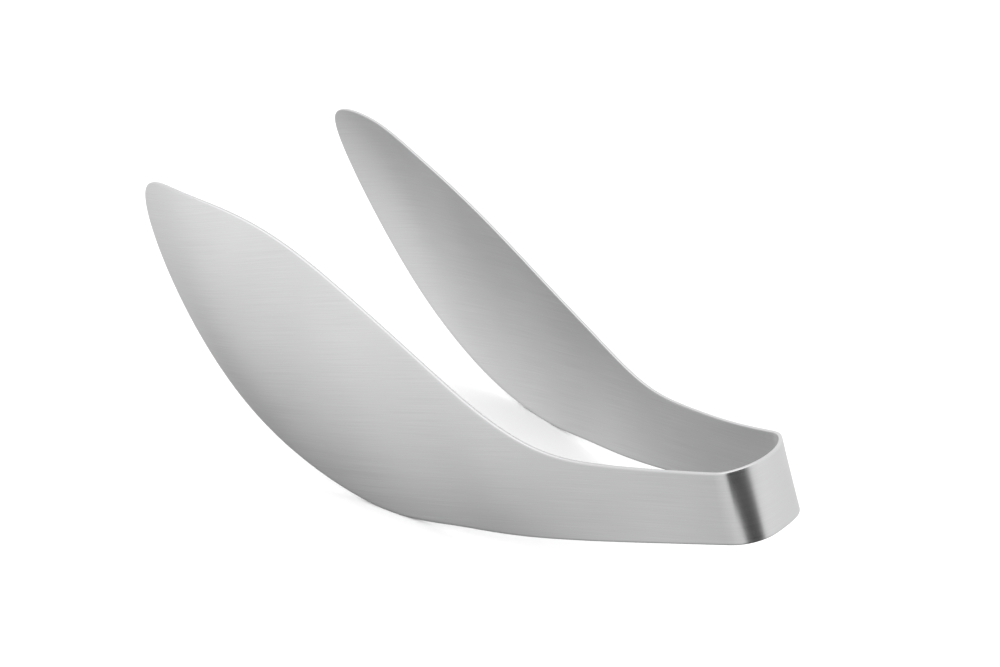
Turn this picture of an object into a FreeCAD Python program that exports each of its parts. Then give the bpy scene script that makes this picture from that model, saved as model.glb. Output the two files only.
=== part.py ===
"""One-piece sheet-steel serving tongs: a U-shaped bow, two shanks and two dished leaf blades.

The strip is drawn in its own frame: X runs from the bow towards the tips, Y across the gap and Z
along the axis that the strip is folded round.  Each piece is the sheet there, trimmed to the blank's
outline.  At the end the whole strip is tipped and lifted until it rests on the table.
"""
import FreeCAD, Part
import Sketcher
import math
import os

os.makedirs("parts", exist_ok=True)
doc = FreeCAD.newDocument("serving_tongs")
Vec = FreeCAD.Vector

# ---------------------------------------------------------------- driving sizes (mm and degrees)
SIZES = {
    "SheetGauge": 1.5,         # thickness of the steel strip
    "FoldTilt": 14.85,         # how far the fold axis leans back from upright at rest
    "PlanReach": 18.8,         # height above and below mid strip of the two plan profiles
    "BendEnd": 16.0,           # where the bends end and the shanks begin
    "WebHalf": 8.0,            # half width of the middle of the bow
    "LowBowBack": -0.7,        # inside of the bow, low profile
    "LowBowRound": 70.8,
    "LowCornerRound": 12.1,
    "LowShankGap": 18.6,       # half gap between the shanks where the bend ends
    "LowShankAngle": 13.2,
    "TopBowBack": 2.3,         # inside of the bow, top profile
    "TopBowRound": 23.4,
    "TopCornerRound": 7.0,
    "TopShankGap": 18.1,
    "TopShankAngle": 8.7,
    "ArmReach": 250.0,         # bow to tip along X
    "BladeStart": 60.0,        # where a shank widens into its blade
    "BladeDeep": 100.0,        # scale of the blank's heights
    "ShankRound": 4000.0,      # the shank is flat: its radius is very large
    "StartHalf": 24.0,         # half height of the untrimmed sheet where the shank starts
}
# The left arm's sheet, section by section from the shank to past the tip.  Each row is the share of
# ArmReach along X, the half gap inside the arm, the share of BladeDeep up Z where the section is
# centred, its lean outwards in degrees, its dish radius and its half height before trimming.
SECTIONS = {
    "Grip": (0.12, 21.2, -0.07, -2.0, 4000.0, 24.0),
    "Waist": (0.18, 24.35, -0.075, -2.0, 4000.0, 26.0),
    "Neck": (0.24, 27.5, -0.07, -0.8, 760.0, 30.0),
    "Root": (0.32, 31.85, -0.045, 1.2, 264.0, 36.0),
    "Heel": (0.42, 37.9, 0.025, 2.2, 175.0, 46.0),
    "Belly": (0.52, 43.25, 0.12, 0.45, 195.0, 56.0),
    "Middle": (0.64, 49.8, 0.285, -0.8, 187.0, 62.0),
    "Shoulder": (0.76, 54.3, 0.53, -2.9, 180.0, 60.0),
    "Nose": (0.88, 58.0, 0.845, -5.1, 145.0, 56.0),
    "Point": (1.00, 52.6, 1.20, -7.3, 170.0, 44.0),
    "Beyond": (1.06, 49.3, 1.36, -8.8, 160.0, 40.0),
}
COLUMNS = ("Along", "Gap", "Height", "Lean", "Dish", "Half")
for name, values in SECTIONS.items():
    for word, value in zip(COLUMNS, values):
        SIZES[name + word] = value
sheet = doc.addObject("Spreadsheet::Sheet", "Sizes")
for row, (name, value) in enumerate(SIZES.items(), start=1):
    sheet.set("A%d" % row, name)
    sheet.set("B%d" % row, str(value))
    sheet.setAlias("B%d" % row, name)
doc.recompute()


def role_plane(body, role):
    """The body's own origin plane with this role."""
    return [f for f in body.Origin.OriginFeatures if f.Role == role][0]


def new_sketch(body, name, role, offset):
    """A sketch on one of the body's origin planes, moved off it by the given placement."""
    sketch = body.newObject("Sketcher::SketchObject", name)
    sketch.AttachmentSupport = [(role_plane(body, role), "")]
    sketch.MapMode = "FlatFace"
    sketch.AttachmentOffset = offset
    return sketch


def bind(sketch, constraint, name, expression):
    """Add a dimension, name it, and let the spreadsheet drive it."""
    index = sketch.addConstraint(constraint)
    sketch.renameConstraint(index, name)
    sketch.setExpression("Constraints." + name, expression)


# ---------------------------------------------------------------- the blank's outline, seen from the side
# Poles of one cubic curve: along the lower edge, round the tip and back along the top edge.
# Each is a share of ArmReach along X and of BladeDeep along Z.
OUTLINE = [(-0.20, -0.11), (0.13, -0.14), (0.365, -0.185), (0.495, -0.133), (0.640, -0.133),
           (0.904, 0.295), (1.045, 1.305), (0.931, 1.244), (0.704, 1.006), (0.363, 0.192),
           (0.247, 0.142), (0.03, 0.125), (-0.20, 0.195)]
trim = doc.addObject("PartDesign::Body", "BlankOutline")
outline = new_sketch(trim, "OutlineSketch", "XZ_Plane", FreeCAD.Placement())
reach, deep = SIZES["ArmReach"], SIZES["BladeDeep"]
poles = [Vec(a * reach, b * deep, 0) for a, b in OUTLINE]
inner_knots = len(poles) - 4
knots = [i / (inner_knots + 1) for i in range(inner_knots + 2)]
mults = [4] + [1] * inner_knots + [4]
curve = Part.BSplineCurve()
curve.buildFromPolesMultsKnots(poles, mults, knots, False, 3)
edge = outline.addGeometry(curve, False)
back = outline.addGeometry(Part.LineSegment(poles[-1], poles[0]), False)
for number, pole in enumerate(poles):
    handle = outline.addGeometry(Part.Circle(pole, Vec(0, 0, 1), 1.0), True)
    outline.addConstraint(
        Sketcher.Constraint("InternalAlignment:Sketcher::BSplineControlPoint", handle, 3, edge, number))
    if number == 0:
        first_handle = handle
        outline.addConstraint(Sketcher.Constraint("Weight", handle, 1.0))
    else:
        outline.addConstraint(Sketcher.Constraint("Equal", first_handle, handle))
    along, up = OUTLINE[number]
    bind(outline, Sketcher.Constraint("DistanceX", -1, 1, handle, 3, pole.x),
         "Along%d" % number, "Sizes.ArmReach * %g" % along)
    bind(outline, Sketcher.Constraint("DistanceY", -1, 1, handle, 3, pole.y),
         "Up%d" % number, "Sizes.BladeDeep * %g" % up)
outline.addConstraint(Sketcher.Constraint("Coincident", edge, 2, back, 1))
outline.addConstraint(Sketcher.Constraint("Coincident", back, 2, edge, 1))
doc.recompute()
pad = trim.newObject("PartDesign::Pad", "OutlinePad")
pad.Profile = outline
pad.Midplane = True
pad.setExpression("Length", "Sizes.ArmReach")
doc.recompute()


# ---------------------------------------------------------------- the bow and its two corners
def plan_profile(body, level, height):
    """The strip seen along the fold axis at one height: line, corner, bow, corner, line, twice."""
    lifted = FreeCAD.Placement(Vec(0, 0, height), FreeCAD.Rotation())
    sketch = new_sketch(body, level + "Plan", "XY_Plane", lifted)
    sketch.setExpression(".AttachmentOffset.Base.z", "Sizes.PlanReach * %d" % math.copysign(1, height))
    gauge, end_x = SIZES["SheetGauge"], SIZES["BendEnd"]
    bow, corner = SIZES[level + "BowRound"], SIZES[level + "CornerRound"]
    end_y, slope = SIZES[level + "ShankGap"], math.radians(SIZES[level + "ShankAngle"])
    middle = Vec(SIZES[level + "BowBack"] + bow, 0, 0)
    # the corner's centre lies one corner radius inside the shank's line and touches the bow's arc
    along = Vec(math.cos(slope), math.sin(slope), 0)
    inward = Vec(math.sin(slope), -math.cos(slope), 0)
    from_middle = Vec(end_x, end_y, 0) + inward * corner - middle
    half = from_middle.dot(along)
    back_off = half + math.sqrt(half * half - from_middle.dot(from_middle) + (bow - corner) ** 2)
    centre = middle + from_middle - along * back_off
    outward = (centre - middle).normalize()
    bow_turn = math.atan2(outward.y, outward.x)
    line_turn = math.pi / 2 + slope

    def across(point):
        return Vec(point.x, -point.y, 0)

    ends = {}
    for name, extra in (("In", 0.0), ("Out", gauge)):
        tangent_end = centre - inward * (corner + extra)
        stop_y = end_y + extra / math.cos(slope)
        stop = Vec(end_x, stop_y, 0)
        circle = Part.Circle(centre, Vec(0, 0, 1), corner + extra)
        mirror_circle = Part.Circle(across(centre), Vec(0, 0, 1), corner + extra)
        bow_circle = Part.Circle(middle, Vec(0, 0, 1), bow + extra)
        line = sketch.addGeometry(Part.LineSegment(tangent_end, stop), False)
        left = sketch.addGeometry(Part.ArcOfCircle(circle, line_turn, bow_turn), False)
        web = sketch.addGeometry(Part.ArcOfCircle(bow_circle, bow_turn, 2 * math.pi - bow_turn), False)
        right = sketch.addGeometry(
            Part.ArcOfCircle(mirror_circle, 2 * math.pi - bow_turn, 2 * math.pi - line_turn), False)
        far_line = sketch.addGeometry(Part.LineSegment(across(tangent_end), across(stop)), False)
        # an arc runs counter-clockwise from spot 1 to spot 2, so each pair meets spot 2 to spot 1
        chain = ((line, 1, left, 1), (left, 2, web, 1), (web, 2, right, 1), (right, 2, far_line, 1))
        for first, first_end, second, second_end in chain:
            sketch.addConstraint(Sketcher.Constraint("Tangent", first, first_end, second, second_end))
        sketch.addConstraint(Sketcher.Constraint("Symmetric", web, 1, web, 2, -1))
        sketch.addConstraint(Sketcher.Constraint("Symmetric", line, 2, far_line, 2, -1))
        sketch.addConstraint(Sketcher.Constraint("Equal", left, right))
        if name == "In":
            bind(sketch, Sketcher.Constraint("DistanceX", -1, 1, web, 3, middle.x), "BowMiddle",
                 "Sizes.%sBowBack + Sizes.%sBowRound" % (level, level))
            bind(sketch, Sketcher.Constraint("Radius", web, bow), "BowRound", "Sizes.%sBowRound" % level)
            bind(sketch, Sketcher.Constraint("Radius", left, corner), "CornerRound",
                 "Sizes.%sCornerRound" % level)
            bind(sketch, Sketcher.Constraint("DistanceX", -1, 1, line, 2, end_x), "BendEnd", "Sizes.BendEnd")
            bind(sketch, Sketcher.Constraint("DistanceY", -1, 1, line, 2, end_y), "ShankGap",
                 "Sizes.%sShankGap" % level)
            bind(sketch, Sketcher.Constraint("Angle", line, slope), "ShankAngle",
                 "Sizes.%sShankAngle" % level)
        else:
            sketch.addConstraint(Sketcher.Constraint("Vertical", web, 3, ends["In"][1], 3))
            sketch.addConstraint(Sketcher.Constraint("Parallel", line, ends["In"][0]))
            sketch.addConstraint(Sketcher.Constraint("Coincident", left, 3, ends["In"][2], 3))
            bind(sketch, Sketcher.Constraint("Radius", web, bow + gauge), "BowOuter",
                 "Sizes.%sBowRound + Sizes.SheetGauge" % level)
            bind(sketch, Sketcher.Constraint("DistanceX", -1, 1, line, 2, end_x), "OuterEnd", "Sizes.BendEnd")
        ends[name] = (line, web, left, far_line)
    for which in (0, 3):
        start = sketch.getPoint(ends["In"][which], 2)
        finish = sketch.getPoint(ends["Out"][which], 2)
        cap = sketch.addGeometry(Part.LineSegment(start, finish), False)
        sketch.addConstraint(Sketcher.Constraint("Coincident", cap, 1, ends["In"][which], 2))
        sketch.addConstraint(Sketcher.Constraint("Coincident", cap, 2, ends["Out"][which], 2))
    return sketch


bow_sheet = doc.addObject("PartDesign::Body", "BowSheet")
low = plan_profile(bow_sheet, "Low", -SIZES["PlanReach"])
top = plan_profile(bow_sheet, "Top", SIZES["PlanReach"])
bow_loft = bow_sheet.newObject("PartDesign::AdditiveLoft", "BowLoft")
bow_loft.Profile = low
bow_loft.Sections = [top]
bow_loft.Ruled = True
doc.recompute()


# ---------------------------------------------------------------- the left arm's sheet
def arm_section(body, name, along, gap, height, lean, dish, half):
    """The strip cut across at one place: two arcs about one centre, and the two edges.

    The arguments are expressions on the spreadsheet.
    """
    sketch = new_sketch(body, name + "Section", "YZ_Plane", FreeCAD.Placement())
    sketch.setExpression(".AttachmentOffset.Base.x", gap)
    sketch.setExpression(".AttachmentOffset.Base.y", height)
    sketch.setExpression(".AttachmentOffset.Base.z", along)
    sketch.setExpression(".AttachmentOffset.Rotation.Angle", "-1 * (%s)" % lean)
    radius, reach_up = SIZES[dish.split(".")[-1]], SIZES[half.split(".")[-1]]
    gauge = SIZES["SheetGauge"]
    centre = Vec(-radius, 0, 0)
    arcs = []
    for extra in (0.0, gauge):
        turn = math.asin(reach_up / (radius + extra))
        circle = Part.Circle(centre, Vec(0, 0, 1), radius + extra)
        arcs.append(sketch.addGeometry(Part.ArcOfCircle(circle, -turn, turn), False))
    inner, outer = arcs
    for spot in (1, 2):
        edge_line = Part.LineSegment(sketch.getPoint(inner, spot), sketch.getPoint(outer, spot))
        side = sketch.addGeometry(edge_line, False)
        sketch.addConstraint(Sketcher.Constraint("Coincident", side, 1, inner, spot))
        sketch.addConstraint(Sketcher.Constraint("Coincident", side, 2, outer, spot))
        sketch.addConstraint(Sketcher.Constraint("Horizontal", side))
    sketch.addConstraint(Sketcher.Constraint("Symmetric", inner, 1, inner, 2, -1))
    sketch.addConstraint(Sketcher.Constraint("Coincident", inner, 3, outer, 3))
    bind(sketch, Sketcher.Constraint("DistanceX", inner, 3, -1, 1, radius), "Centre", dish)
    bind(sketch, Sketcher.Constraint("Radius", inner, radius), "Inner", dish)
    bind(sketch, Sketcher.Constraint("Radius", outer, radius + gauge), "Outer", dish + " + Sizes.SheetGauge")
    bind(sketch, Sketcher.Constraint("DistanceY", -1, 1, inner, 2, reach_up), "Half", half)
    return sketch


arm_sheet = doc.addObject("PartDesign::Body", "ArmSheet")
sections = [arm_section(
    arm_sheet, "Start", "Sizes.BendEnd", "(Sizes.LowShankGap + Sizes.TopShankGap) / 2", "0 mm",
    "atan((Sizes.TopShankGap - Sizes.LowShankGap) / (2 * Sizes.PlanReach))",
    "Sizes.ShankRound", "Sizes.StartHalf")]
for name in SECTIONS:
    sections.append(arm_section(
        arm_sheet, name, "Sizes.ArmReach * Sizes.%sAlong" % name, "Sizes.%sGap" % name,
        "Sizes.BladeDeep * Sizes.%sHeight" % name, "Sizes.%sLean" % name,
        "Sizes.%sDish" % name, "Sizes.%sHalf" % name))
doc.recompute()
arm_loft = arm_sheet.newObject("PartDesign::AdditiveLoft", "ArmLoft")
arm_loft.Profile = sections[0]
arm_loft.Sections = sections[1:]


# ---------------------------------------------------------------- trimming and dividing the strip
def zone(name, start_x, length, start_y, width):
    """A box taller than the strip that keeps one stretch of it."""
    box = doc.addObject("Part::Box", name)
    box.setExpression("Placement.Base.x", start_x)
    box.setExpression("Length", length)
    box.setExpression("Placement.Base.y", start_y)
    box.setExpression("Width", width)
    box.setExpression("Placement.Base.z", "-1 * Sizes.ArmReach")
    box.setExpression("Height", "2 * Sizes.ArmReach")
    return box


def piece(label, sheet_body, keep):
    """One stretch of the sheet, trimmed to the blank's outline, then tipped and set on the table."""
    part = doc.addObject("Part::MultiCommon", label)
    part.Shapes = [sheet_body, trim, keep]
    part.Label = label
    part.Placement = FreeCAD.Placement(Vec(), FreeCAD.Rotation(Vec(0, 1, 0), SIZES["FoldTilt"]))
    part.setExpression("Placement.Rotation.Angle", "Sizes.FoldTilt")
    part.setExpression("Placement.Base.x", "Sizes.RestShift")
    part.setExpression("Placement.Base.z", "Sizes.RestLift")
    return part


def mirrored(label, source):
    """The same stretch on the other arm."""
    part = doc.addObject("Part::Mirroring", label)
    part.Source = source
    part.Base = Vec(0, 0, 0)
    part.Normal = Vec(0, 1, 0)
    part.Label = label
    return part


# the table's height and the middle of the length are measured once the tipped strip is built
for row, name in enumerate(("RestShift", "RestLift"), start=len(SIZES) + 1):
    sheet.set("A%d" % row, name)
    sheet.set("B%d" % row, "0")
    sheet.setAlias("B%d" % row, name)
doc.recompute()

behind, across_all = "-1 * Sizes.ArmReach / 5", "Sizes.ArmReach"
web_zone = zone("WebZone", behind, "Sizes.ArmReach / 5 + Sizes.BendEnd", "-1 * Sizes.WebHalf",
                "2 * Sizes.WebHalf")
bend_zone = zone("BendZone", behind, "Sizes.ArmReach / 5 + Sizes.BendEnd", "Sizes.WebHalf", across_all)
shank_zone = zone("ShankZone", "Sizes.BendEnd", "Sizes.BladeStart - Sizes.BendEnd", "0 mm", across_all)
blade_zone = zone("BladeZone", "Sizes.BladeStart", "1.2 * Sizes.ArmReach - Sizes.BladeStart", "0 mm",
                  across_all)

bow_web = piece("bow_web", bow_sheet, web_zone)
left = [piece("left_bend", bow_sheet, bend_zone),
        piece("left_shank", arm_sheet, shank_zone),
        piece("left_blade", arm_sheet, blade_zone)]
doc.recompute()
bounds = FreeCAD.BoundBox()
for part in [bow_web] + left:
    bounds.add(part.Shape.optimalBoundingBox(False, False))
sheet.set("RestShift", "%.4f" % (-bounds.Center.x))
sheet.set("RestLift", "%.4f" % (-bounds.ZMin))
right = [mirrored("right_" + part.Label.split("_")[1], part) for part in left]
doc.recompute()

# ---------------------------------------------------------------- check every object and write the pieces
for item in doc.Objects:
    if "Invalid" in item.State or "Error" in item.State:
        raise RuntimeError(item.Label + " did not build")
for part in [bow_web] + left + right:
    if part.Shape.isNull() or not part.Shape.isValid() or len(part.Shape.Solids) != 1:
        raise RuntimeError(part.Label + " is not one valid solid")
    part.Shape.exportStep("parts/%s.step" % part.Label)
    print(part.Label, "%.1f mm3" % part.Shape.Volume)
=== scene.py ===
"""One-piece serving tongs of brushed stainless steel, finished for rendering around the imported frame."""
import math
import bmesh
import bpy
import numpy as np
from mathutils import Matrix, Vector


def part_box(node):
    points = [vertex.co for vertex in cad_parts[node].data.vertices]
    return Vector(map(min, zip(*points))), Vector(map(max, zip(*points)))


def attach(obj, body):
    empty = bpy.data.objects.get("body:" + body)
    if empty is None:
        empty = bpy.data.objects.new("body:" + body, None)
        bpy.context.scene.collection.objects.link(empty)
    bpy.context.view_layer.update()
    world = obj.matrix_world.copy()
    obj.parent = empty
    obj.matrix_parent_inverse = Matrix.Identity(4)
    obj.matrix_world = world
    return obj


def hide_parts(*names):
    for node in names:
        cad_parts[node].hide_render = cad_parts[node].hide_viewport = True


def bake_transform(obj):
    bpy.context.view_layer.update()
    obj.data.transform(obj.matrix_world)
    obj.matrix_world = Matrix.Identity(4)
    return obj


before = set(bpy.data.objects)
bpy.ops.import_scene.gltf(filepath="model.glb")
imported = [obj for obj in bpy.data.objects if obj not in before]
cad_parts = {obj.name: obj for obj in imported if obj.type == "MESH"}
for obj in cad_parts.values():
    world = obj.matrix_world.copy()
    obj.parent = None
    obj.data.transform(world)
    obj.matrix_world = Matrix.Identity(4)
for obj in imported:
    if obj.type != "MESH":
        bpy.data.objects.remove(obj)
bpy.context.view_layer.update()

# ---------------------------------------------------------------- bow web
# The flat middle of the U-shaped bow, where the strip stands on edge at the hand end of the tongs.
# It is the same 1.5 mm brushed stainless strip as every other stretch: blanked, brushed, then folded.
# All strip sizes are in mm in the strip's own frame: X bow to tips, Y across the gap, Z up the fold axis.
MM = 0.001
GAUGE = 1.5                 # thickness of the strip
EDGE_ROUND = 0.38           # radius left on both corners of the rim by tumbling
FOLD_TILT = math.radians(14.85)
PLAN_REACH = 18.8           # height above and below mid strip of the two plan profiles
BEND_END = 16.0             # where the bends end and the shanks begin
WEB_HALF = 8.0              # half width of the web
ARM_REACH = 250.0
BLADE_DEEP = 100.0
# inside of the bow at the low and the top profile: back, bow radius, corner radius, half gap, angle
BOW_PROFILES = ((-0.7, 70.8, 12.1, 18.6, math.radians(13.2)),
                (2.3, 23.4, 7.0, 18.1, math.radians(8.7)))
# poles of the blank's edge, along the lower edge, round the tip and back along the top edge
BLANK_POLES = np.array([
    (-0.20, -0.11), (0.13, -0.14), (0.365, -0.185), (0.495, -0.133), (0.640, -0.133),
    (0.904, 0.295), (1.045, 1.305), (0.931, 1.244), (0.704, 1.006), (0.363, 0.192),
    (0.247, 0.142), (0.03, 0.125), (-0.20, 0.195)]) * (ARM_REACH, BLADE_DEEP)


def blank_edge(share):
    """Clamped cubic B-spline over the blank's poles with even knots.

    Each basis function is raised from degree 0 to 3 by the usual two-term blend of its neighbours.
    share runs 0 to 1 from the bow's lower edge round the tip to the bow's top edge; gives X and Z.
    """
    degree, count = 3, len(BLANK_POLES)
    inner = np.linspace(0, 1, count - degree + 1)
    knots = np.concatenate([np.zeros(degree), inner, np.ones(degree)])
    at = np.clip(np.asarray(share, float), 0, 1 - 1e-9)
    basis = [((knots[k] <= at) & (at < knots[k + 1])).astype(float) for k in range(len(knots) - 1)]
    for rise in range(1, degree + 1):
        raised = []
        for k in range(len(basis) - 1):
            first, second = knots[k + rise] - knots[k], knots[k + rise + 1] - knots[k + 1]
            left = (at - knots[k]) / first * basis[k] if first > 0 else 0 * at
            right = (knots[k + rise + 1] - at) / second * basis[k + 1] if second > 0 else 0 * at
            raised.append(left + right)
        basis = raised
    return np.stack(basis, -1) @ BLANK_POLES


EDGE_SAMPLES = 6001
edge_line = blank_edge(np.linspace(0, 1, EDGE_SAMPLES))
tip_sample = int(np.argmax(edge_line[:, 0] * math.cos(FOLD_TILT) + edge_line[:, 1] * 0.55))
low_line = edge_line[:tip_sample + 1]
top_line = edge_line[tip_sample:][::-1]


def bow_point(turn, height, depth):
    """The bow's sheet: two plan profiles joined by straight lines up the strip.

    Each profile is half the bow's arc, the corner's arc and a straight run to the bend's end, all
    tangent. turn 0 to 3 runs evenly down the length of each profile, so the sheet has no crease. A
    point is the share of the height between the profiles, and depth moves it out along the normal.
    """
    places = []
    for back, bow, corner, gap, angle in BOW_PROFILES:
        middle = back + bow
        along = np.array([math.cos(angle), math.sin(angle)])
        inward = np.array([math.sin(angle), -math.cos(angle)])
        offset = np.array([BEND_END, gap]) + inward * corner - (middle, 0)
        half = offset @ along
        back_off = half + math.sqrt(half * half - offset @ offset + (bow - corner) ** 2)
        centre = np.array([middle, 0]) + offset - along * back_off
        meet = math.atan2(centre[1], centre[0] - middle)
        bow_length = bow * (math.pi - meet)
        corner_length = corner * (meet - math.pi / 2 - angle)
        run_length = math.hypot(*(np.array([BEND_END, gap]) - centre + corner * inward))
        reached = turn / 3 * (bow_length + corner_length + run_length)
        bow_angle = math.pi - np.clip(reached, 0, bow_length) / bow
        corner_angle = meet - np.clip(reached - bow_length, 0, corner_length) / corner
        run_share = np.clip((reached - bow_length - corner_length) / run_length, 0, 1)
        on_bow = np.stack([middle + (bow + depth) * np.cos(bow_angle), (bow + depth) * np.sin(bow_angle)], -1)
        on_corner = centre + (corner + depth)[..., None] * np.stack(
            [np.cos(corner_angle), np.sin(corner_angle)], -1)
        leave = centre - (corner + depth)[..., None] * inward
        stop = np.stack([np.full_like(depth, BEND_END), gap + depth / math.cos(angle)], -1)
        on_run = leave + (stop - leave) * run_share[..., None]
        places.append(np.where((reached < bow_length)[..., None], on_bow,
                               np.where((run_share <= 0)[..., None], on_corner, on_run)))
    rise = ((height + PLAN_REACH) / (2 * PLAN_REACH))[..., None]
    plan = places[0] * (1 - rise) + places[1] * rise
    return np.stack([plan[..., 0], plan[..., 1], height], -1)


def bow_stations(turns):
    """Low and top edge of the bow's sheet at each turn, as (turn, height), where the blank's edge cuts it."""
    ends = []
    for line in (low_line, top_line):
        height = np.interp(0, line[:, 0], line[:, 1]) + 0 * turns
        for _ in range(6):
            x = bow_point(turns, height, np.full_like(turns, GAUGE / 2))[:, 0]
            height = np.interp(x, line[:, 0], line[:, 1])
        ends.append(np.stack([turns, height], -1))
    return ends


def mirror_turn(point_of):
    """The same stretch for turns below 0, on the right side: Y changes its sign."""
    def both(turn, height, depth):
        place = point_of(np.abs(turn), height, depth)
        place[..., 1] *= np.where(turn < 0, -1, 1)
        return place
    return both


def strip_mesh(name, low, top, low_in, top_in, point_of, along, closed_tip=False):
    """One stretch of the strip as a closed skin.

    At every station a loop runs up the inner face, round the top rim, down the outer face and round the
    low rim. A face's points divide the line from low to top evenly; a rim's points lie on two quarter
    circles of EDGE_ROUND, inset along the edge's own inward direction. The UV map that the brushing
    follows is the distance along the blank and the height up it, because the flat blank was brushed.
    """
    face_points, rim_steps = 56, 4
    share = np.linspace(0, 1, face_points)
    bend = np.linspace(0, math.pi / 2, rim_steps)
    inset = EDGE_ROUND * (1 - np.sin(bend))
    sink = EDGE_ROUND * (1 - np.cos(bend))
    rim_inset = np.concatenate([inset, inset[::-1]])[1:-1]
    rim_depth = np.concatenate([sink, GAUGE - sink[::-1]])[1:-1]
    stations, rim_points = len(low), len(rim_inset)
    low_face = low + low_in * EDGE_ROUND
    top_face = top + top_in * EDGE_ROUND
    face = low_face[:, None] + (top_face - low_face)[:, None] * share[None, :, None]
    top_rim = top[:, None] + top_in[:, None] * rim_inset[None, :, None]
    low_rim = low[:, None] + low_in[:, None] * rim_inset[None, ::-1, None]
    chart = np.concatenate([face, top_rim, face[:, ::-1], low_rim], 1)
    depth = np.concatenate([np.zeros(face_points), rim_depth, np.full(face_points, GAUGE), rim_depth[::-1]])
    depth = np.broadcast_to(depth, chart.shape[:2])
    place = point_of(chart[..., 0], chart[..., 1], depth) * MM
    loop = chart.shape[1]
    i, j = np.meshgrid(np.arange(stations - 1), np.arange(loop), indexing="ij")
    side = np.stack([i * loop + j, i * loop + (j + 1) % loop,
                     (i + 1) * loop + (j + 1) % loop, (i + 1) * loop + j], -1).reshape(-1, 4)
    k = np.arange(face_points - 1)
    mate = 2 * face_points + rim_points - 1 - k
    cap = np.stack([k, k + 1, mate - 1, mate], -1)
    top_cap = list(range(face_points - 1, face_points + rim_points + 1))
    low_cap = list(range(2 * face_points + rim_points - 1, loop)) + [0]
    end_shift = (stations - 1) * loop
    faces = side.tolist()
    ends = [0] if closed_tip else [0, end_shift]
    for shift in ends:
        faces += (cap + shift).tolist()
        faces += [[v + shift for v in top_cap], [v + shift for v in low_cap]]
    mesh = bpy.data.meshes.new(name)
    mesh.from_pydata(place.reshape(-1, 3), [], faces)
    grain = np.stack([along(chart[..., 0]), chart[..., 1]], -1)
    corners = np.zeros(len(mesh.loops), int)
    mesh.loops.foreach_get("vertex_index", corners)
    uv = mesh.uv_layers.new(name="grain")
    uv.data.foreach_set("uv", (grain.reshape(-1, 2)[corners] * MM).astype(np.float32).ravel())
    rim = np.concatenate([np.zeros(face_points), np.ones(rim_points)] * 2)
    rim_mark = mesh.attributes.new("rim", "FLOAT", "POINT")
    rim_mark.data.foreach_set("value", np.tile(rim, stations).astype(np.float32))
    smooth = np.ones(len(mesh.polygons), bool)
    smooth[len(side):] = False
    mesh.polygons.foreach_set("use_smooth", smooth)
    return mesh


def tipped(mesh):
    """The mesh's points in metres, tipped back by the fold tilt: X and Z turn about Y."""
    points = np.zeros(len(mesh.vertices) * 3)
    mesh.vertices.foreach_get("co", points)
    x, y, z = points.reshape(-1, 3).T
    cos, sin = math.cos(FOLD_TILT), math.sin(FOLD_TILT)
    return np.stack([cos * x + sin * z, y, cos * z - sin * x], -1)


def skin(name, mesh):
    """Set the stretch on the table, merge the tip's doubled points and point every face outwards."""
    mesh.vertices.foreach_set("co", (tipped(mesh) + rest_shift).astype(np.float32).ravel())
    shape = bmesh.new()
    shape.from_mesh(mesh)
    bmesh.ops.remove_doubles(shape, verts=shape.verts, dist=2e-7)
    bmesh.ops.recalc_face_normals(shape, faces=shape.faces)
    shape.to_mesh(mesh)
    shape.free()
    piece = bpy.data.objects.new(name, mesh)
    bpy.context.scene.collection.objects.link(piece)
    mesh.materials.append(steel)
    return piece


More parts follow.
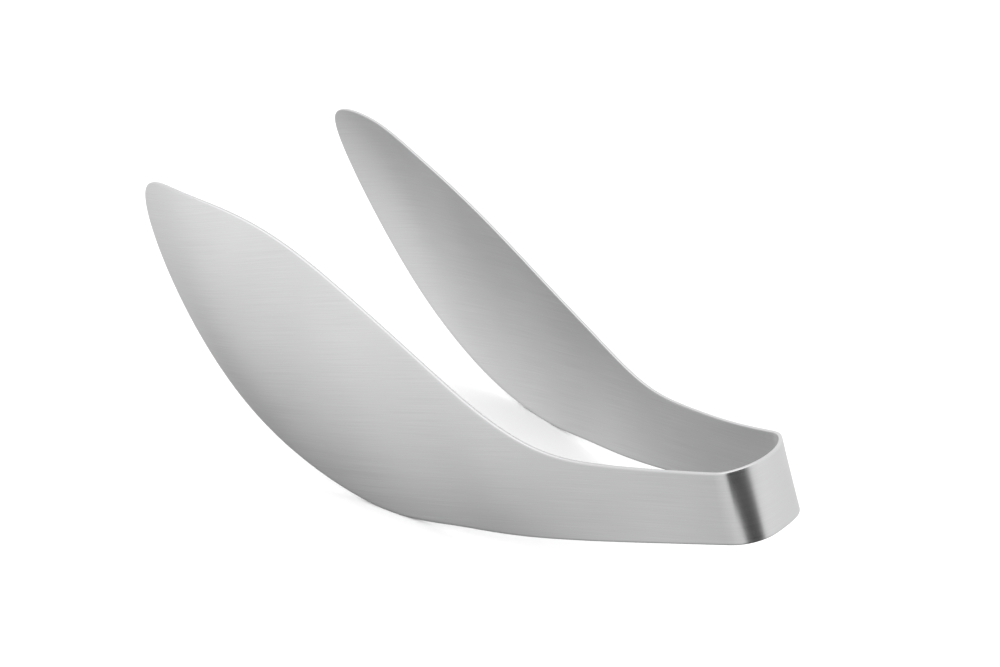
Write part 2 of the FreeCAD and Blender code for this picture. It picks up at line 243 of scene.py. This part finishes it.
def brushed_steel():
    """Fine scratches along the strip: noise stretched down the UV's length, in colour, gloss and bump.

    The rim is the sheared edge, tumbled smooth, so it is brighter and has no scratches.
    """
    material = bpy.data.materials.new("brushed_stainless")
    material.use_nodes = True
    nodes, links = material.node_tree.nodes, material.node_tree.links
    shader = nodes["Principled BSDF"]
    shader.inputs["Metallic"].default_value = 1.0
    shader.inputs["Anisotropic"].default_value = 0.7
    shader.inputs["Anisotropic Rotation"].default_value = 0.25
    uv = nodes.new("ShaderNodeUVMap")
    uv.uv_map = "grain"
    tangent = nodes.new("ShaderNodeTangent")
    tangent.direction_type = "UV_MAP"
    tangent.uv_map = "grain"
    links.new(tangent.outputs["Tangent"], shader.inputs["Tangent"])

    def scratches(per_metre_along, per_metre_across, detail):
        stretch = nodes.new("ShaderNodeMapping")
        stretch.inputs["Scale"].default_value = (per_metre_along, per_metre_across, 1)
        noise = nodes.new("ShaderNodeTexNoise")
        noise.inputs["Scale"].default_value = 1.0
        noise.inputs["Detail"].default_value = detail
        noise.inputs["Roughness"].default_value = 0.6
        links.new(uv.outputs["UV"], stretch.inputs["Vector"])
        links.new(stretch.outputs["Vector"], noise.inputs["Vector"])
        return noise.outputs["Fac"]

    def spread(source, low, high, to_low, to_high):
        ramp = nodes.new("ShaderNodeMapRange")
        for socket, value in (("From Min", low), ("From Max", high), ("To Min", to_low), ("To Max", to_high)):
            ramp.inputs[socket].default_value = value
        links.new(source, ramp.inputs["Value"])
        return ramp.outputs["Result"]

    def mixed(kind, first, second):
        sum_up = nodes.new("ShaderNodeMath")
        sum_up.operation = kind
        for socket, value in zip(sum_up.inputs, (first, second)):
            if isinstance(value, float):
                socket.default_value = value
            else:
                links.new(value, socket)
        return sum_up.outputs["Value"]

    fine = scratches(32, 3600, 2.0)
    broad = scratches(9, 1100, 2.0)
    place = nodes.new("ShaderNodeTexCoord")
    cloud = nodes.new("ShaderNodeTexNoise")
    cloud.inputs["Scale"].default_value = 24.0
    cloud.inputs["Detail"].default_value = 2.0
    links.new(place.outputs["Object"], cloud.inputs["Vector"])
    rim = nodes.new("ShaderNodeAttribute")
    rim.attribute_name = "rim"
    grain = mixed("ADD", spread(fine, 0.3, 0.7, -0.03, 0.03), spread(broad, 0.3, 0.7, -0.008, 0.008))
    tone = mixed("ADD", mixed("ADD", grain, spread(cloud.outputs["Fac"], 0.3, 0.7, -0.012, 0.012)), 0.55)
    tint = nodes.new("ShaderNodeCombineColor")
    links.new(tone, tint.inputs["Red"])
    links.new(tone, tint.inputs["Green"])
    links.new(mixed("MULTIPLY", tone, 1.006), tint.inputs["Blue"])
    colour = nodes.new("ShaderNodeMix")
    colour.data_type = "RGBA"
    links.new(rim.outputs["Fac"], colour.inputs["Factor"])
    links.new(tint.outputs["Color"], colour.inputs["A"])
    colour.inputs["B"].default_value = (0.5, 0.5, 0.505, 1)
    links.new(colour.outputs["Result"], shader.inputs["Base Color"])
    gloss = mixed("ADD", spread(broad, 0.3, 0.7, 0.33, 0.39), spread(fine, 0.3, 0.7, -0.02, 0.02))
    rim_gloss = mixed("MULTIPLY", gloss, spread(rim.outputs["Fac"], 0.0, 1.0, 1.0, 0.8))
    links.new(rim_gloss, shader.inputs["Roughness"])
    bump = nodes.new("ShaderNodeBump")
    bump.inputs["Distance"].default_value = 0.00002
    links.new(mixed("ADD", fine, broad), bump.inputs["Height"])
    links.new(spread(rim.outputs["Fac"], 0.0, 1.0, 0.22, 0.02), bump.inputs["Strength"])
    links.new(bump.outputs["Normal"], shader.inputs["Normal"])
    return material


steel = brushed_steel()
TURN_SAMPLES = np.linspace(0, 3, 1200)
turn_path = bow_point(TURN_SAMPLES, np.zeros(1200), np.zeros(1200))
turn_length = np.concatenate([[0], np.cumsum(np.linalg.norm(np.diff(turn_path, axis=0), axis=1))])


def bow_along(turn):
    """Distance along the blank from the middle of the bow, below 0 on the right side."""
    return np.sign(turn) * np.interp(np.abs(turn), TURN_SAMPLES, turn_length)


def close_ends(stations):
    """The same stations with one more just inside each end, so that shading meets across a seam."""
    step = 0.02 * np.diff(stations)[[0, -1]]
    return np.concatenate([stations[:1], stations[:1] + step[0], stations[1:-1],
                           stations[-1:] - step[1], stations[-1:]])


turn_at_web = bow_point(np.linspace(0, 1, 400), np.zeros(400), np.full(400, GAUGE / 2))
web_turn = float(np.interp(WEB_HALF, turn_at_web[:, 1], np.linspace(0, 1, 400)))


def bow_stretch(name, first, last, stations):
    """The strip between two turns of the bow, with turns below 0 on the right side."""
    turns = close_ends(np.linspace(first, last, stations))
    low, top = bow_stations(np.abs(turns))
    low[:, 0], top[:, 0] = turns, turns
    upright = np.broadcast_to((0.0, 1.0), low.shape)
    return strip_mesh(name, low, top, upright, -upright, mirror_turn(bow_point), bow_along)


web_mesh = bow_stretch("bow_web_skin", -web_turn, web_turn, 61)
web_box_low, web_box_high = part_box("bow_web")
web_points = tipped(web_mesh)
web_rise = (web_box_low.z + web_box_high.z - web_points[:, 2].min() - web_points[:, 2].max()) / 2
rest_shift = np.array([web_box_low.x - web_points[:, 0].min(), 0, web_rise])
web = skin("bow_web_skin", web_mesh)
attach(web, "bow")
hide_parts("bow_web")


# ---------------------------------------------------------------- bends
# The two corners where the strip turns from the web into the shanks.  They are the tongs' spring:
# each one flexes as the hand closes the shanks. Each skin runs from the web's end to the shank's start.
bend_turns = close_ends(np.linspace(web_turn, 3, 170))


def bend_mesh(name, side):
    """The strip from the web's end to the shank's start on one side, 1 for left and -1 for right."""
    low, top = bow_stations(bend_turns)
    upright = np.broadcast_to((0.0, 1.0), low.shape)
    return strip_mesh(name, low, top, upright, -upright, sided(bow_point, side),
                      lambda turn: side * bow_along(turn))


def sided(point_of, side):
    """The same surface on one side: Y is multiplied by side."""
    def placed(first, height, depth):
        return point_of(first, height, depth) * (1, side, 1)
    return placed


for side, arm in ((1, "left"), (-1, "right")):
    bend = skin(arm + "_bend_skin", bend_mesh(arm + "_bend_skin", side))
    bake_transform(bend)
    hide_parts(arm + "_bend")


# ---------------------------------------------------------------- shanks
# The plain grip of each arm, held between thumb and fingers.  The strip is flat here, twists a little
# and runs straight into its blade.
BLADE_START = 60.0
(low_gap, low_angle), (top_gap, top_angle) = (profile[3:] for profile in BOW_PROFILES)
ARM_SECTIONS = np.array([
    # along, half gap inside, height of the arc's middle, lean outwards in degrees, dish radius
    (BEND_END, (low_gap + top_gap) / 2, 0.0,
     math.degrees(math.atan((top_gap - low_gap) / (2 * PLAN_REACH))), 4000.0),
    (30, 21.2, -7.0, -2.0, 4000.0),
    (45, 24.35, -7.5, -2.0, 4000.0),
    (60, 27.5, -7.0, -0.8, 760.0),
    (80, 31.85, -4.5, 1.2, 264.0),
    (105, 37.9, 2.5, 2.2, 175.0),
    (130, 43.25, 12.0, 0.45, 195.0),
    (160, 49.8, 28.5, -0.8, 187.0),
    (190, 54.3, 53.0, -2.9, 180.0),
    (220, 58.0, 84.5, -5.1, 145.0),
    (250, 52.6, 120.0, -7.3, 170.0),
    (265, 49.3, 136.0, -8.8, 160.0)])
ARM_SECTIONS[:, 4] = 1 / ARM_SECTIONS[:, 4]
# the shank leaves the bend along the two profiles' straight runs
SECTION_START_SLOPES = ((math.tan(low_angle) + math.tan(top_angle)) / 2, -0.5,
                        math.degrees((math.tan(top_angle) - math.tan(low_angle)) / (2 * PLAN_REACH)), 0.0)


def section_slopes():
    """Slopes at the sections that make each column one smooth cubic spline: at every inner section
    the second derivatives from both sides agree, and the first slope follows the bow's straight run."""
    at, values = ARM_SECTIONS[:, 0], ARM_SECTIONS[:, 1:]
    gaps, rises = np.diff(at), np.diff(values, axis=0)
    count = len(at)
    system, right = np.zeros((count, count)), np.zeros((count, values.shape[1]))
    system[0, 0], right[0] = 1, SECTION_START_SLOPES
    inner = np.arange(1, count - 1)
    system[inner, inner - 1] = 1 / gaps[:-1]
    system[inner, inner] = 2 / gaps[:-1] + 2 / gaps[1:]
    system[inner, inner + 1] = 1 / gaps[1:]
    right[inner] = 3 * (rises[:-1] / gaps[:-1, None] ** 2 + rises[1:] / gaps[1:, None] ** 2)
    system[-1, -2:], right[-1] = (1, 2), 3 * rises[-1] / gaps[-1]
    return np.linalg.solve(system, right)


slopes = section_slopes()


def arm_point(x, z, depth):
    """The left arm's sheet: at each X an arc of the dish's radius across the strip, leaning outwards.

    The four columns of ARM_SECTIONS come from the cubic spline between the sections beside X, and Y is
    the arc's centre plus the half chord at that height, out by depth on the same centre.
    """
    at, values = ARM_SECTIONS[:, 0], ARM_SECTIONS[:, 1:]
    k = np.clip(np.searchsorted(at, x, side="right") - 1, 0, len(at) - 2)
    gap = (at[k + 1] - at[k])[..., None]
    t = ((x - at[k])[..., None]) / gap
    columns = (values[k] * (1 + 2 * t) * (1 - t) ** 2 + values[k + 1] * t * t * (3 - 2 * t)
               + gap * (slopes[k] * t * (1 - t) ** 2 + slopes[k + 1] * t * t * (t - 1)))
    half_gap, height, lean, curve = np.moveaxis(columns, -1, 0)
    radius, lean = 1 / curve, np.radians(lean)
    rise = z - height - radius * np.sin(lean)
    y = half_gap - radius * np.cos(lean) + np.sqrt((radius + depth) ** 2 - rise ** 2)
    return np.stack([x, y, z], -1)


def arm_along(x):
    """Distance along the blank at X on an arm: the bow's length and then the shank's slant."""
    return turn_length[-1] + (x - BEND_END) / ARM_COSINE


ARM_COSINE = math.cos(math.atan(0.2))     # the arms spread by about one part in five


def shank_mesh(name, side):
    """The strip from the bend's end to the blade's start, cut straight across at both ends."""
    x = close_ends(np.linspace(BEND_END, BLADE_START, 90))
    low = np.stack([x, np.interp(x, low_line[:, 0], low_line[:, 1])], -1)
    top = np.stack([x, np.interp(x, top_line[:, 0], top_line[:, 1])], -1)
    upright = np.broadcast_to((0.0, 1.0), low.shape)
    return strip_mesh(name, low, top, upright, -upright, sided(arm_point, side),
                      lambda x: side * arm_along(x))


for side, arm in ((1, "left"), (-1, "right")):
    shank = skin(arm + "_shank_skin", shank_mesh(arm + "_shank_skin", side))
    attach(shank, arm + "_arm")
    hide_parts(arm + "_shank")


# ---------------------------------------------------------------- blades
# The two leaf-shaped blades that lift the food.  The blank widens here and is pressed hollow, with the
# hollow inside, and its rounded tip sweeps up and a little inwards.
BLADE_STATIONS = 420


def edge_run(line, stations):
    """Points down one edge of the blank from BLADE_START to the tip, even in length and closer at the tip."""
    start = float(np.interp(BLADE_START, line[:len(line) // 2, 0], line[:len(line) // 2, 1]))
    run = np.concatenate([[(BLADE_START, start)], line[line[:, 0] > BLADE_START]])
    length = np.concatenate([[0], np.cumsum(np.linalg.norm(np.diff(run, axis=0), axis=1))])
    share = close_ends(1 - (1 - np.linspace(0, 1, stations)) ** 1.5)
    at = share * length[-1]
    return np.stack([np.interp(at, length, run[:, 0]), np.interp(at, length, run[:, 1])], -1)


blade_low = edge_run(low_line, BLADE_STATIONS)
blade_top = edge_run(top_line, BLADE_STATIONS)


def inward(points, turn):
    """The direction into the blank along an edge: the smoothed tangent turned by a quarter turn."""
    tangent = np.gradient(points, axis=0)
    tangent /= np.linalg.norm(tangent, axis=1, keepdims=True)
    return np.stack([-turn * tangent[:, 1], turn * tangent[:, 0]], -1)


low_in, top_in = inward(blade_low, 1), inward(blade_top, -1)
tip_in = low_in[-3] + top_in[-3]
tip_in /= np.linalg.norm(tip_in)
low_in[-1], top_in[-1] = tip_in, tip_in
# the first station is cut upright, where it meets the shank
lean_in = np.clip(np.arange(len(low_in)) / 12, 0, 1)[:, None]
low_in = low_in * lean_in + np.array((0.0, 1.0)) * (1 - lean_in)
top_in = top_in * lean_in + np.array((0.0, -1.0)) * (1 - lean_in)
for side, arm in ((1, "left"), (-1, "right")):
    mesh = strip_mesh(arm + "_blade_skin", blade_low, blade_top, low_in, top_in,
                      sided(arm_point, side), lambda x: side * arm_along(x), closed_tip=True)
    blade = skin(arm + "_blade_skin", mesh)
    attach(blade, arm + "_arm")
    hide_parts(arm + "_blade")


# ---------------------------------------------------------------- table, light and camera
# A plain white table in a white tent that is brightest above and falls off below the level. The table
# isn't seen in the steel, so the tent's lower half stands in for its shaded reflection.
floor_mesh = bpy.data.meshes.new("table")
FLOOR_REACH = 40.0
floor_corners = [(x * FLOOR_REACH, y * FLOOR_REACH, 0) for x, y in ((-1, -1), (1, -1), (1, 1), (-1, 1))]
floor_mesh.from_pydata(floor_corners, [], [(0, 1, 2, 3)])
floor = bpy.data.objects.new("table", floor_mesh)
bpy.context.scene.collection.objects.link(floor)
paper = bpy.data.materials.new("white_paper")
paper.use_nodes = True
paper.node_tree.nodes["Principled BSDF"].inputs["Base Color"].default_value = (0.93, 0.93, 0.93, 1)
paper.node_tree.nodes["Principled BSDF"].inputs["Roughness"].default_value = 0.9
paper.node_tree.nodes["Principled BSDF"].inputs["Specular IOR Level"].default_value = 0.0
floor_mesh.materials.append(paper)
floor.visible_glossy = False
floor.visible_shadow = False

world = bpy.data.worlds.new("white_tent")
bpy.context.scene.world = world
world.use_nodes = True
nodes, links = world.node_tree.nodes, world.node_tree.links
sky = nodes["Background"]
way = nodes.new("ShaderNodeTexCoord")
split = nodes.new("ShaderNodeSeparateXYZ")
tent = nodes.new("ShaderNodeValToRGB")
raise_up = nodes.new("ShaderNodeMapRange")
raise_up.inputs["From Min"].default_value = -1.0
links.new(way.outputs["Generated"], split.inputs["Vector"])
links.new(split.outputs["Z"], raise_up.inputs["Value"])
links.new(raise_up.outputs["Result"], tent.inputs["Fac"])
links.new(tent.outputs["Color"], sky.inputs["Color"])
stops = ((0.0, 0.06), (0.1, 0.17), (0.2, 0.44), (0.27, 0.70), (0.4, 0.83), (0.56, 1.0), (1.0, 1.0))
ramp = tent.color_ramp
while len(ramp.elements) < len(stops):
    ramp.elements.new(0.5)
for element, (at, level) in zip(ramp.elements, stops):
    element.position, element.color = at, (level, level, level, 1)
sky.inputs["Strength"].default_value = 1.36

# a tall dark card beside the camera, seen only in the gloss: it gives the dark band at the near corner
CARD_WAY = math.radians(155)
card_mesh = bpy.data.meshes.new("dark_card")
card_out, card_half, card_low, card_top = 2.0, 0.86, -2.5, 1.5
card_centre = np.array([math.cos(CARD_WAY), math.sin(CARD_WAY), 0]) * card_out
card_side = np.array([-math.sin(CARD_WAY), math.cos(CARD_WAY), 0]) * card_half
corners = [card_centre - card_side + (0, 0, card_low), card_centre + card_side + (0, 0, card_low),
           card_centre + card_side + (0, 0, card_top), card_centre - card_side + (0, 0, card_top)]
card_mesh.from_pydata([tuple(c) for c in corners], [], [(0, 1, 2, 3)])
card = bpy.data.objects.new("dark_card", card_mesh)
bpy.context.scene.collection.objects.link(card)
black = bpy.data.materials.new("black_felt")
black.use_nodes = True
black.node_tree.nodes["Principled BSDF"].inputs["Base Color"].default_value = (0.01, 0.01, 0.01, 1)
black.node_tree.nodes["Principled BSDF"].inputs["Specular IOR Level"].default_value = 0.0
card_mesh.materials.append(black)
card.visible_camera = False
card.visible_diffuse = False

lamp_data = bpy.data.lights.new("soft_overhead", "AREA")
lamp_data.shape, lamp_data.size, lamp_data.energy = "DISK", 2.2, 9.0
lamp = bpy.data.objects.new("soft_overhead", lamp_data)
lamp.location = (0.1, 0.1, 1.9)
lamp.rotation_euler = (0, 0, 0)
bpy.context.scene.collection.objects.link(lamp)

eye_data = bpy.data.cameras.new("eye")
eye_data.sensor_width, eye_data.lens = 36.0, 63.515
eye = bpy.data.objects.new("eye", eye_data)
eye.location = (-0.39957, 0.4517, 0.39374)
eye.rotation_euler = (math.radians(61.36), 0, math.radians(221.14))
bpy.context.scene.collection.objects.link(eye)
bpy.context.scene.camera = eye
bpy.context.scene.view_settings.view_transform = "Standard"
